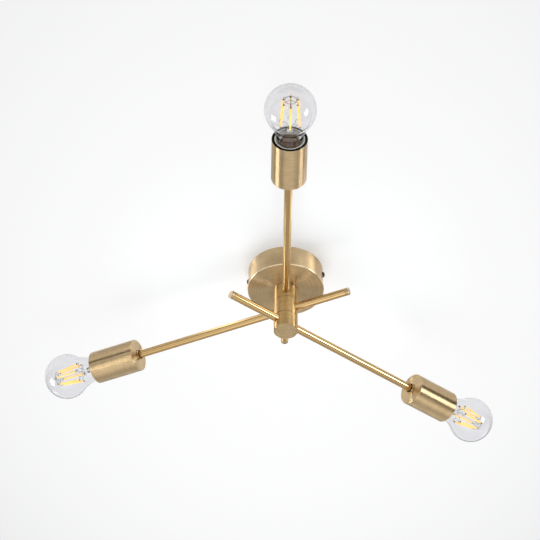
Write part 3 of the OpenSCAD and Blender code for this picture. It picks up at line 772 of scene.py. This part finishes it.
CEILING_POOLS = (
    dict(name="right", azimuth=52, away=0.125, long=0.09, wide=0.13, radiance=2.5),
    dict(name="left", azimuth=-84, away=0.125, long=0.09, wide=0.11, radiance=2.0),
    dict(name="rim_right", azimuth=45, away=0.08, long=0.045, wide=0.05, radiance=0.2),
    dict(name="rim_left", azimuth=-62, away=0.08, long=0.045, wide=0.05, radiance=0.6),
    dict(name="front", azimuth=-12, away=0.15, long=0.24, wide=0.22, radiance=-0.5),
)
POOL_DROP = 0.3 * MM
HORIZON_INNER, HORIZON_OUTER = 0.5, 3.0
HORIZON_DROP, HORIZON_LOW = 0.5 * MM, 0.1
HORIZON_STEPS = 64


def build_pool(name, azimuth, away, long, wide, radiance):
    """A brighter or darker patch just under the ceiling, beside the light, that only reflections see."""
    turn = Matrix.Rotation(math.radians(azimuth), 4, "Z")
    place = turn @ Matrix.Translation((0, -away, -POOL_DROP))
    reflected_card("pool_" + name, place, wide, long, 1.0, radiance)


def facing_place(azimuth, elevation, away):
    """A place round the light whose own Z points away from it."""
    middle = (CAD_BOX[0] + CAD_BOX[1]) / 2
    back = toward(azimuth, elevation)
    return Matrix.Translation(middle + back * away) @ back.to_track_quat("Z", "Y").to_matrix().to_4x4()


def build_grey_card(name, azimuth, elevation, away, wide, high, grey):
    """A grey card that faces the light."""
    reflected_card("grey_" + name, facing_place(azimuth, elevation, away), wide, high, grey)


def build_horizon():
    """A dark ring just under the ceiling, away from the light, which darkens the horizon in reflections."""
    material, _, _ = new_material("dark_felt", {"Base Color": (0.02, 0.02, 0.02, 1), "Roughness": 1.0})
    steps = HORIZON_STEPS
    turns = [2 * math.pi * i / steps for i in range(steps)]
    rings = (
        (HORIZON_INNER, -HORIZON_DROP), (HORIZON_OUTER, -HORIZON_DROP), (HORIZON_OUTER, -HORIZON_LOW),
    )
    corners = [(r * math.cos(a), r * math.sin(a), z) for r, z in rings for a in turns]
    faces = [
        (base + i, base + (i + 1) % steps, base + steps + (i + 1) % steps, base + steps + i)
        for base in (0, steps) for i in range(steps)
    ]
    horizon = stage_piece("horizon", Matrix.Identity(4), corners, faces, material)
    hide_from(horizon, "camera", "diffuse", "transmission", "shadow")


def toward(azimuth, elevation):
    """The direction of something round the light, from -Y at 0 degrees to +X at 90."""
    a, e = math.radians(azimuth), math.radians(elevation)
    return Vector((math.sin(a) * math.cos(e), -math.cos(a) * math.cos(e), math.sin(e)))


def hide_from(piece, *rays):
    """Keeps kinds of rays from seeing a thing."""
    for ray in rays:
        setattr(piece, "visible_" + ray, False)


def stage_piece(name, place, corners, faces, material):
    """A plain mesh of the stage."""
    mesh = bpy.data.meshes.new(name)
    mesh.from_pydata(corners, [], faces)
    mesh.materials.append(material)
    piece = placed(name, mesh, place)
    return piece


def plane(name, place, wide, high, material):
    """A flat card of the stage whose front faces along its own Z."""
    corners = [(x * wide / 2, y * high / 2, 0) for x, y in ((-1, -1), (1, -1), (1, 1), (-1, 1))]
    return stage_piece(name, place, corners, [(0, 1, 2, 3)], material)


def build_lamp(name, azimuth, elevation, away, wide, high, radiance):
    """An area lamp of a given radiance that faces the light and doesn't show in it."""
    data = bpy.data.lights.new("lamp_" + name, "AREA")
    data.shape = "RECTANGLE"
    data.size, data.size_y = wide, high
    data.energy = radiance * math.pi * wide * high
    lamp = placed("lamp_" + name, data, facing_place(azimuth, elevation, away))
    hide_from(lamp, "camera", "glossy", "transmission")


def build_softbox(name, azimuth, elevation, away, wide, high, radiance):
    """A soft lamp that faces the light, with the feathered card and dark flags that reflections see."""
    build_lamp(name, azimuth, elevation, away, wide / 2, high, radiance / 2)
    place = facing_place(azimuth, elevation, away + CARD_GAP)
    reflected_card("card_" + name, place, wide, high, FLAG_GREY, radiance, FLAG_W)


def reflected_card(name, place, wide, high, grey, radiance=0.0, margin=0.0):
    """A grey card that only reflections see. Its middle of wide by high is brighter, or darker, and fades."""
    material = bpy.data.materials.new(name)
    tree = bare_tree(material)
    parts = add(tree, "SeparateXYZ", {0: add(tree, "TexCoord").outputs["Object"]}).outputs
    shares = [sum_of(tree, "DIVIDE", part, half) for part, half in zip(parts, (wide / 2, high / 2))]
    out = sum_of(tree, "MAXIMUM", *(sum_of(tree, "ABSOLUTE", share) for share in shares))
    glow = ranged(
        tree, out, 1 - FEATHER_SHARE, 1.0, grey + radiance, grey, interpolation_type="SMOOTHSTEP")
    shown = add(tree, "Emission", {"Color": (1, 1, 1, 1), "Strength": glow}).outputs[0]
    add(tree, "OutputMaterial", {"Surface": shown})
    card = plane(name, place, wide + 2 * margin, high + 2 * margin, material)
    hide_from(card, "camera", "diffuse", "transmission", "shadow")


# The stretch of ceiling that the picture shows
SEEN_MIDDLE = (0, 0.09, 0)
SEEN_HALF = (0.35, 0.535, 1)
# Painted tint that cools the ceiling, taking the brass's warm bounce light out of the canopy's shadow
SHADOW_TINT = (0.955, 0.98, 1.0)
PALE_RANGE = (0.8, 1.0)
# Distances from the canopy's middle over which the ceiling changes
FAR_REACH = (0.9, 2.6)
VEIL_REACH = (0.09, 0.24)
MIRROR_REACH = (0.1, 0.2)
MIRROR_SHADE = 0.8
CEILING_GAP = 0.2 * MM
CANOPY_MARGIN = 3 * MM


def ceiling_colour(tree, settings, distance, where):
    """The ceiling's colour, with painted shade a little darker towards the edges of the picture, and white
    far from the light.
    """
    seen_from = vector_of(tree, "DIVIDE", vector_of(tree, "SUBTRACT", where, SEEN_MIDDLE), SEEN_HALF)
    out = vector_of(tree, "DOT_PRODUCT", seen_from, seen_from, output="Value")
    # Painted shade: darker towards the edges of the picture
    darker = sum_of(tree, "MULTIPLY", out, settings.ceiling_edge)
    level = sum_of(tree, "SUBTRACT", settings.ceiling_level, darker)
    level = sum_of(tree, "MAXIMUM", level, ranged(tree, distance, *FAR_REACH, *PALE_RANGE))
    shade = grey_of(tree, ranged(tree, level, *PALE_RANGE, *PALE_RANGE))
    return mixed(tree, 1.0, settings.ceiling_colour, shade, "MULTIPLY")


def build_ceiling(settings):
    """The pale ceiling, with the canopy's soft shadow on it. From above and over the canopy it is clear."""
    material = bpy.data.materials.new("ceiling")
    tree = bare_tree(material)
    where = add(tree, "NewGeometry").outputs["Position"]
    distance = vector_of(tree, "LENGTH", where, output="Value")
    colour = ceiling_colour(tree, settings, distance, where)
    rays = add(tree, "LightPath").outputs
    seen = sum_of(tree, "MAXIMUM", rays["Is Camera Ray"], rays["Is Transmission Ray"])
    # Camera and transmission rays see the painted cool tint.
    cool = mixed(tree, seen, colour, SHADOW_TINT, "MULTIPLY")
    # Reflections see the ceiling darker away from the canopy: painted shade in what the metal mirrors.
    shade = grey_of(tree, ranged(tree, distance, *MIRROR_REACH, 1.0, MIRROR_SHADE))
    dim = mixed(tree, rays["Is Glossy Ray"], cool, shade, "MULTIPLY")
    lit = add(tree, "BsdfDiffuse", {"Color": dim}).outputs[0]
    pale = add(tree, "Emission", {"Color": colour, "Strength": 1.0}).outputs[0]
    fill = ranged(tree, distance, *VEIL_REACH, settings.near_veil, settings.far_veil)
    veil = sum_of(tree, "MULTIPLY", seen, fill)
    below = add(tree, "MixShader", {0: veil, 1: lit, 2: pale}).outputs[0]
    above = add(tree, "BsdfTransparent").outputs[0]
    behind = add(tree, "NewGeometry").outputs["Backfacing"]
    over_canopy = sum_of(tree, "LESS_THAN", distance, canopy_radius() - CANOPY_MARGIN)
    clear = sum_of(tree, "MAXIMUM", behind, over_canopy)
    both = add(tree, "MixShader", {0: clear, 1: below, 2: above}).outputs[0]
    add(tree, "OutputMaterial", {"Surface": both})
    place = Matrix.Translation(Z * CEILING_GAP) @ Matrix.Rotation(math.pi, 4, "X")
    plane("ceiling", place, settings.ceiling_w, settings.ceiling_w, material)


def build_world(settings):
    """Plain light from all round, and white where it is seen."""
    world = bpy.data.worlds.new("studio")
    tree = bare_tree(world)
    rays = add(tree, "LightPath").outputs
    seen = sum_of(tree, "MAXIMUM", rays["Is Glossy Ray"], rays["Is Transmission Ray"])
    seen = sum_of(tree, "MAXIMUM", rays["Is Camera Ray"], seen)
    room, white = (
        add(tree, "Background", {"Color": (1, 1, 1, 1), "Strength": strength}).outputs[0]
        for strength in (settings.room, 1.0)
    )
    both = add(tree, "MixShader", {0: seen, 1: room, 2: white}).outputs[0]
    add(tree, "OutputWorld", {"Surface": both})
    bpy.context.scene.world = world


# How far outside the canopy's wall the painted rim highlight begins
CANOPY_RIM_OUT = 0.15 * MM


class CEILING_LIGHT_OT_canopy(Operator):
    """Finishes the canopy, its screws, and the bracket and terminal block inside it"""
    bl_idname = "ceiling_light.canopy"
    bl_label = "Canopy"

    def execute(self, context):
        here = Matrix.Identity(4)
        look = {**satin_look(), "rim": canopy_radius() + CANOPY_RIM_OUT}
        finish_node("canopy", turned_brass("canopy_brass", here, look))
        finish_node("canopy_screws", plain_finish("blackened_steel"))
        finish_node("ceiling_bracket", plain_finish("zinc_steel"))
        finish_node("terminal_block", plain_finish("white_ceramic"))
        finish_node("terminal_screws", turned_brass("terminal_brass", here, turned_look("machined")))
        finish_node("canopy_leads", plain_finish("lead_insulation"))
        return {"FINISHED"}


class CEILING_LIGHT_OT_hubs(Operator):
    """Finishes the stacked hubs, their covers, washers, stems and nuts"""
    bl_idname = "ceiling_light.hubs"
    bl_label = "Hubs"

    def execute(self, context):
        here = Matrix.Identity(4)
        satin = turned_brass("hub_brass", here, hub_look())
        plate = turned_brass("plate_brass", here, plate_look())
        machined = turned_brass("stem_brass", here, turned_look("machined"))
        washer = plain_finish("black_fibre")
        for n in ARMS:
            finish_node(f"hub_{n}", satin)
            finish_node(f"hub_cover_{n}", plate)
            finish_node(f"friction_washer_{n}", washer)
            finish_node(f"swivel_stem_{n}", machined)
            finish_node(f"stem_nut_{n}", machined)
        return {"FINISHED"}


class CEILING_LIGHT_OT_arms(Operator):
    """Finishes the rods, their plugs, collars and bushes"""
    bl_idname = "ceiling_light.arms"
    bl_label = "Arms"

    def execute(self, context):
        black = plain_finish("black_phenolic")
        for n in ARMS:
            polished = turned_brass(f"rod_{n}_brass", turning_place(n), polished_look())
            for node in ("rod", "collar"):
                finish_node(f"{node}_{n}", polished)
            plug = turned_brass(f"plug_{n}_brass", turning_place(n), plug_look())
            finish_node(f"end_plug_{n}", plug)
            finish_node(f"rod_bush_{n}", black)
        return {"FINISHED"}


MOUTH_COLOUR = (0.86, 0.87, 0.8)


class CEILING_LIGHT_OT_cups(Operator):
    """Finishes the cups and lampholders, and builds the plated lip and black flange at each mouth"""
    bl_idname = "ceiling_light.cups"
    bl_label = "Cups and lampholders"

    def execute(self, context):
        black = plain_finish("black_phenolic")
        plated = plain_finish("pale_plating")
        for n in ARMS:
            place = turning_place(n)
            finish_node(f"cup_{n}", turned_brass(f"cup_{n}_brass", place, satin_look()))
            finish_node(f"lampholder_{n}", black)
            _, mouth, _ = along_arm(n, f"screw_shell_{n}")
            look = {**turned_look("copper"), "mouth": mouth, "mouth_colour": MOUTH_COLOUR}
            copper = turned_brass(f"shell_{n}_copper", place, look)
            finish_node(f"screw_shell_{n}", copper)
            build_ring(n, plated)
            build_flange(n, black)
            finish_node(f"centre_contact_{n}", copper)
        return {"FINISHED"}


RING_W = 1.3 * MM
RING_T = 0.4 * MM
RING_GAP = 0.05 * MM
SHELL_GAP = 0.02 * MM
FLANGE_T = 0.3 * MM
FLANGE_GAP = 0.1 * MM
FLANGE_WALL = 0.8 * MM
FLANGE_EDGE = 0.2 * MM
FLANGE_INNER_EDGE = (0.1 * MM, 0.15 * MM)


def build_ring(n, plated):
    """The plated sleeve that lines the mouth of lampholder n, with a lip that turns inwards at its top."""
    _, low, outer = along_arm(n, f"screw_shell_{n}")
    _, lip, _ = along_arm(n, f"cup_{n}")
    low, outer, high = low + SHELL_GAP, outer - RING_GAP, lip + FLANGE_T - RING_GAP

    def shape(made):
        inner, under = outer - RING_W, high - RING_T
        turned_in = [(high, outer), (high, inner), (under, inner), (under, outer - RING_T)]
        lathe(made, arm_place(n), [(low, outer), *turned_in, (low, outer - RING_T), (low, outer)])

    new_piece(f"lampholder_{n}_ring", f"arm_{n}", plated, shape)


def build_flange(n, black):
    """The black flange of lampholder n, which covers the lip of its cup."""
    _, rim, _ = along_arm(n, f"lampholder_{n}")
    _, _, bore = along_arm(n, f"screw_shell_{n}")
    _, lip, outer = along_arm(n, f"cup_{n}")
    top, inner, outer = lip + FLANGE_T, bore + FLANGE_GAP, outer - FLANGE_GAP
    down, back = FLANGE_INNER_EDGE

    def shape(made):
        inside = [(rim, inner + FLANGE_WALL), (rim, inner), (top - down, inner), (top, inner + back)]
        edge = [(top, outer - FLANGE_EDGE), (top - FLANGE_EDGE, outer)]
        under = [(lip, outer), (lip, inner + FLANGE_WALL)]
        lathe(made, arm_place(n), [*inside, *edge, *under, inside[0]])

    new_piece(f"lampholder_{n}_flange", f"arm_{n}", black, shape)


GLASS_RIPPLE = 0.01 * MM
STEM_TINT = (0.9, 0.91, 0.91)
STEM_RIPPLE = 0.05 * MM


class CEILING_LIGHT_OT_bulbs(Operator):
    """Finishes the bulbs' caps and tips, and builds their glass, mounts, filaments and wires"""
    bl_idname = "ceiling_light.bulbs"
    bl_label = "Bulbs"

    def execute(self, context):
        bulb = context.scene.ceiling_light.bulb
        glass = clear_glass("clear_glass", bulb.glass, GLASS_RIPPLE)
        stem_glass = clear_glass("stem_glass", STEM_TINT, STEM_RIPPLE)
        coating = coated_filament()
        wire = plain_finish("lead_wire")
        tip = plain_finish("black_glass")
        for n in ARMS:
            nickel = turned_brass(f"cap_{n}_nickel", turning_place(n), turned_look("nickel"))
            finish_node(f"bulb_tip_{n}", tip)
            finish_node(f"bulb_cap_{n}", nickel)
            build_glass(n, glass)
            build_mount(n, stem_glass)
            build_filaments(n, bulb, coating, wire)
        return {"FINISHED"}


ARC_STEPS, BEND_STEPS = 44, 24
NECK_TURN, NECK_SLOPE = math.radians(125), math.radians(14)
NECK_SHARES = (0.3, 0.47)
NECK_L = 3 * MM
NECK_OUT, NECK_IN = 0.45 * MM, 0.35 * MM
GLASS_T = 0.8 * MM
ON_AXIS = 0.001 * MM


def glass_middle(n):
    """The place of the middle of the glass of bulb n, its radius, and how far behind it the neck ends."""
    low, top, radius = along_arm(n, f"bulb_glass_{n}")
    middle = top - radius
    return arm_place(n) @ Matrix.Translation(X * middle), radius, middle - low


def lathe(made, place, outline, sides=96):
    """Turns an outline of points of (distance along the arm, radius) about the arm."""
    rings = []
    for along, out in outline:
        if out < ON_AXIS:
            rings.append([made.verts.new(place @ (X * along))] * sides)
            continue
        rings.append([
            made.verts.new(place @ Vector((along, out * math.cos(a), out * math.sin(a))))
            for a in (2 * math.pi * k / sides for k in range(sides))
        ])
    for first, second in zip(rings, rings[1:]):
        join_rings(made, first, second)


def glass_side(radius, end_out, end_along):
    """One side of the glass from its top to its neck: an arc, then a curve into the neck."""
    turns = [NECK_TURN * i / ARC_STEPS for i in range(ARC_STEPS + 1)]
    arc = [(radius * math.cos(turn), radius * math.sin(turn)) for turn in turns]
    start, finish = Vector(arc[-1]), Vector((end_along, end_out))
    reach = (start - finish).length
    lead = start + reach * NECK_SHARES[0] * Vector((-math.sin(NECK_TURN), math.cos(NECK_TURN)))
    trail = finish + reach * NECK_SHARES[1] * Vector((math.cos(NECK_SLOPE), math.sin(NECK_SLOPE)))
    bend = []
    for i in range(1, BEND_STEPS + 1):
        t = i / BEND_STEPS
        near = (1 - t) ** 3 * start + 3 * (1 - t) ** 2 * t * lead
        bend.append(tuple(near + 3 * (1 - t) * t ** 2 * trail + t ** 3 * finish))
    return arc + bend


def build_glass(n, glass):
    """The blown glass of bulb n, with its neck."""
    place, radius, behind = glass_middle(n)
    _, _, cap_r = along_arm(n, f"bulb_cap_{n}")
    neck_end = NECK_L - behind
    seat = cap_r - NECK_IN

    def shape(made):
        outside = glass_side(radius, cap_r + NECK_OUT, neck_end)
        inside = glass_side(radius - GLASS_T, seat - GLASS_T, neck_end)
        neck = [(neck_end, seat), (-behind, seat), (-behind, seat - GLASS_T)]
        lathe(made, place, outside + neck + inside[::-1])

    piece = new_piece(f"bulb_{n}_glass", f"bulb_{n}", glass, shape)
    hide_from(piece, "shadow")
    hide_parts(f"bulb_glass_{n}")


MOUNT_SHARES = (
    (-1.0, 1.0), (-0.975, 1.0), (-0.95, 0.92), (-0.9, 0.72), (-0.84, 0.54), (-0.76, 0.42), (-0.68, 0.35),
    (-0.6, 0.3), (-0.55, 0.24), (-0.51, 0.22), (-0.485, 0.19), (-0.475, 0.11),
)
MOUNT_WALL = 0.5 * MM
HOLLOW_POINTS = 8
ROD_R, ROD_TIP_R = 0.8 * MM, 0.5 * MM
ROD_TAPER = 1 * MM
ROD_OVER_CROWN = 1.5 * MM
MOUNT_SIDES = 48


def build_mount(n, glass):
    """The glass flare of bulb n with its pinched top, and the rod that carries the crown."""
    place, radius, behind = glass_middle(n)
    _, _, mount_r = along_arm(n, f"bulb_stem_{n}")
    rod_top = radius * CROWN_RISE_SHARE + ROD_OVER_CROWN

    def shape(made):
        flare = [(along * behind, out * mount_r) for along, out in MOUNT_SHARES]
        hollow = [(along, out - MOUNT_WALL) for along, out in flare[:HOLLOW_POINTS]]
        hollow.append((hollow[-1][0] + MOUNT_WALL, 0))
        rod = [(flare[-1][0] + ROD_TAPER, ROD_R), (rod_top - ROD_TAPER, ROD_R)]
        tip = [(rod_top, ROD_TIP_R), (rod_top, 0)]
        lathe(made, place, [*hollow[::-1], *flare, *rod, *tip], MOUNT_SIDES)

    piece = new_piece(f"bulb_{n}_mount", f"bulb_{n}", glass, shape)
    hide_from(piece, "shadow")
    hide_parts(f"bulb_stem_{n}")


# Shares of the glass's radius. A pair says how far along from the middle, and how far out
CROWN_SHARE = 0.223
CROWN_RISE_SHARE = 0.485
TOP_SHARES = (0.37, 0.305)
LOW_SHARES = (-0.67, 0.42)
FOOT_SHARE = -0.84
# A filament's shape: shares of its length from the top, and of its thickness there
STICK_SHARES = (
    (0.0, 0.45), (0.01, 0.8), (0.03, 1.0), (0.5, 1.0), (0.97, 1.0), (0.99, 0.8), (1.0, 0.45),
)
# Points of a lower wire: its twist, its rise in wire radii, and its way out as a share plus wire radii
LOW_WIRE_SHARES = (
    (0.0, 2, 1.0, 0), (0.0, -3, 1.0, 1), (0.16, -7, 1.0, 2),
    (0.3, -4, 0.8, 0), (0.1, -3, 0.62, 0), (-0.1, -9, 0.5, 0),
)
FOOT_WIRE_SHARES = ((0.0, 2, 0.3, 0), (0.0, -5, 0.16, 0))
CROWN_STEPS = 48
STICK_SIDES, CAP_SIDES, CROWN_SIDES, WIRE_SIDES = 16, 12, 10, 8
HIGH_BENDS, LOW_BENDS = 4, 5


def build_filaments(n, bulb, coating, dark_wire):
    """The filaments of bulb n, and the wires that carry them from the glass stem to the crown."""
    place, radius, _ = glass_middle(n)
    wire = bulb.wire_d / 2
    thick = bulb.filament_d / 2
    turns = [2 * math.pi * i / bulb.filaments for i in range(bulb.filaments)]
    high_along, high_out = (radius * share for share in TOP_SHARES)
    low_along, low_out = (radius * share for share in LOW_SHARES)
    rise, crown, foot = (radius * share for share in (CROWN_RISE_SHARE, CROWN_SHARE, FOOT_SHARE))

    def at(turn, along, out):
        """A point round the bulb's axis, from the middle of its glass."""
        return place @ Vector((along, -out * math.sin(turn), out * math.cos(turn)))

    def bent(made, points, steps):
        """A wire on a smooth curve through points."""
        path = smooth_path(points, steps)
        tube(made, path, [wire] * len(path), WIRE_SIDES)

    def sticks(made):
        """The filaments, with rounded ends."""
        for turn in turns:
            high, low = at(turn, high_along, high_out), at(turn, low_along, low_out)
            points = [high.lerp(low, share) for share, _ in STICK_SHARES]
            tube(made, points, [share * thick for _, share in STICK_SHARES], STICK_SIDES)

    def wires(made):
        """The crown, its spokes, the wires above and below each filament, and the filaments' caps."""
        ring = [at(2 * math.pi * i / CROWN_STEPS, rise, crown) for i in range(CROWN_STEPS)]
        loop_tube(made, ring, wire, CROWN_SIDES)
        for i, turn in enumerate(turns):
            over = [
                at(turn, rise, crown),
                at(turn, rise + 2 * wire, (crown + high_out) / 2 + wire),
                at(turn, rise - 3 * wire, high_out + 1.5 * wire),
                at(turn, high_along - 2 * wire, high_out),
            ]
            bent(made, over, HIGH_BENDS)
            if i % 2 == 0:
                spoke = [at(turn, rise, ROD_TIP_R), at(turn, rise, crown)]
                tube(made, spoke, [wire, wire], WIRE_SIDES)
            under = [
                at(turn + twist, start + up * wire, low_out * share + more * wire)
                for start, rows in ((low_along, LOW_WIRE_SHARES), (foot, FOOT_WIRE_SHARES))
                for twist, up, share, more in rows
            ]
            bent(made, under, LOW_BENDS)
            for along, out in ((high_along, high_out), (low_along, low_out)):
                cap = [at(turn, along - wire, out), at(turn, along + wire, out)]
                tube(made, cap, [thick + wire / 4] * 2, CAP_SIDES)

    filaments = new_piece(f"bulb_{n}_filaments", f"bulb_{n}", coating, sticks)
    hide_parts(f"bulb_filaments_{n}")
    new_piece(f"bulb_{n}_wires", f"bulb_{n}", dark_wire, wires)


class CEILING_LIGHT_PT_panel(Panel):
    """Lists the settings and what builds each piece"""
    bl_idname = "CEILING_LIGHT_PT_panel"
    bl_label = "Ceiling light"
    bl_space_type = "VIEW_3D"
    bl_region_type = "UI"
    bl_category = "Ceiling light"

    def draw(self, context):
        settings = context.scene.ceiling_light
        for group in ("camera", "stage", "brass", "bulb"):
            box = self.layout.box()
            box.label(text=group.capitalize())
            values = getattr(settings, group)
            for name in values.__annotations__:
                box.prop(values, name)
        for operator in OPERATORS:
            self.layout.operator(operator.bl_idname)


OPERATORS = (
    CEILING_LIGHT_OT_camera, CEILING_LIGHT_OT_stage, CEILING_LIGHT_OT_canopy, CEILING_LIGHT_OT_hubs,
    CEILING_LIGHT_OT_arms, CEILING_LIGHT_OT_cups, CEILING_LIGHT_OT_bulbs,
)
CLASSES = (
    CameraSettings, StageSettings, BrassSettings, BulbSettings, CeilingLightSettings,
    *OPERATORS, CEILING_LIGHT_PT_panel,
)


def register():
    for each in CLASSES:
        bpy.utils.register_class(each)
    bpy.types.Scene.ceiling_light = PointerProperty(type=CeilingLightSettings)


def unregister():
    del bpy.types.Scene.ceiling_light
    for each in reversed(CLASSES):
        bpy.utils.unregister_class(each)


def main():
    """Builds the light in its studio."""
    register()
    for operator in OPERATORS:
        group, name = operator.bl_idname.split(".")
        result = getattr(getattr(bpy.ops, group), name)()
        if result != {"FINISHED"}:
            raise RuntimeError(f"{operator.bl_label} didn't finish")


if __name__ == "__main__":
    main()
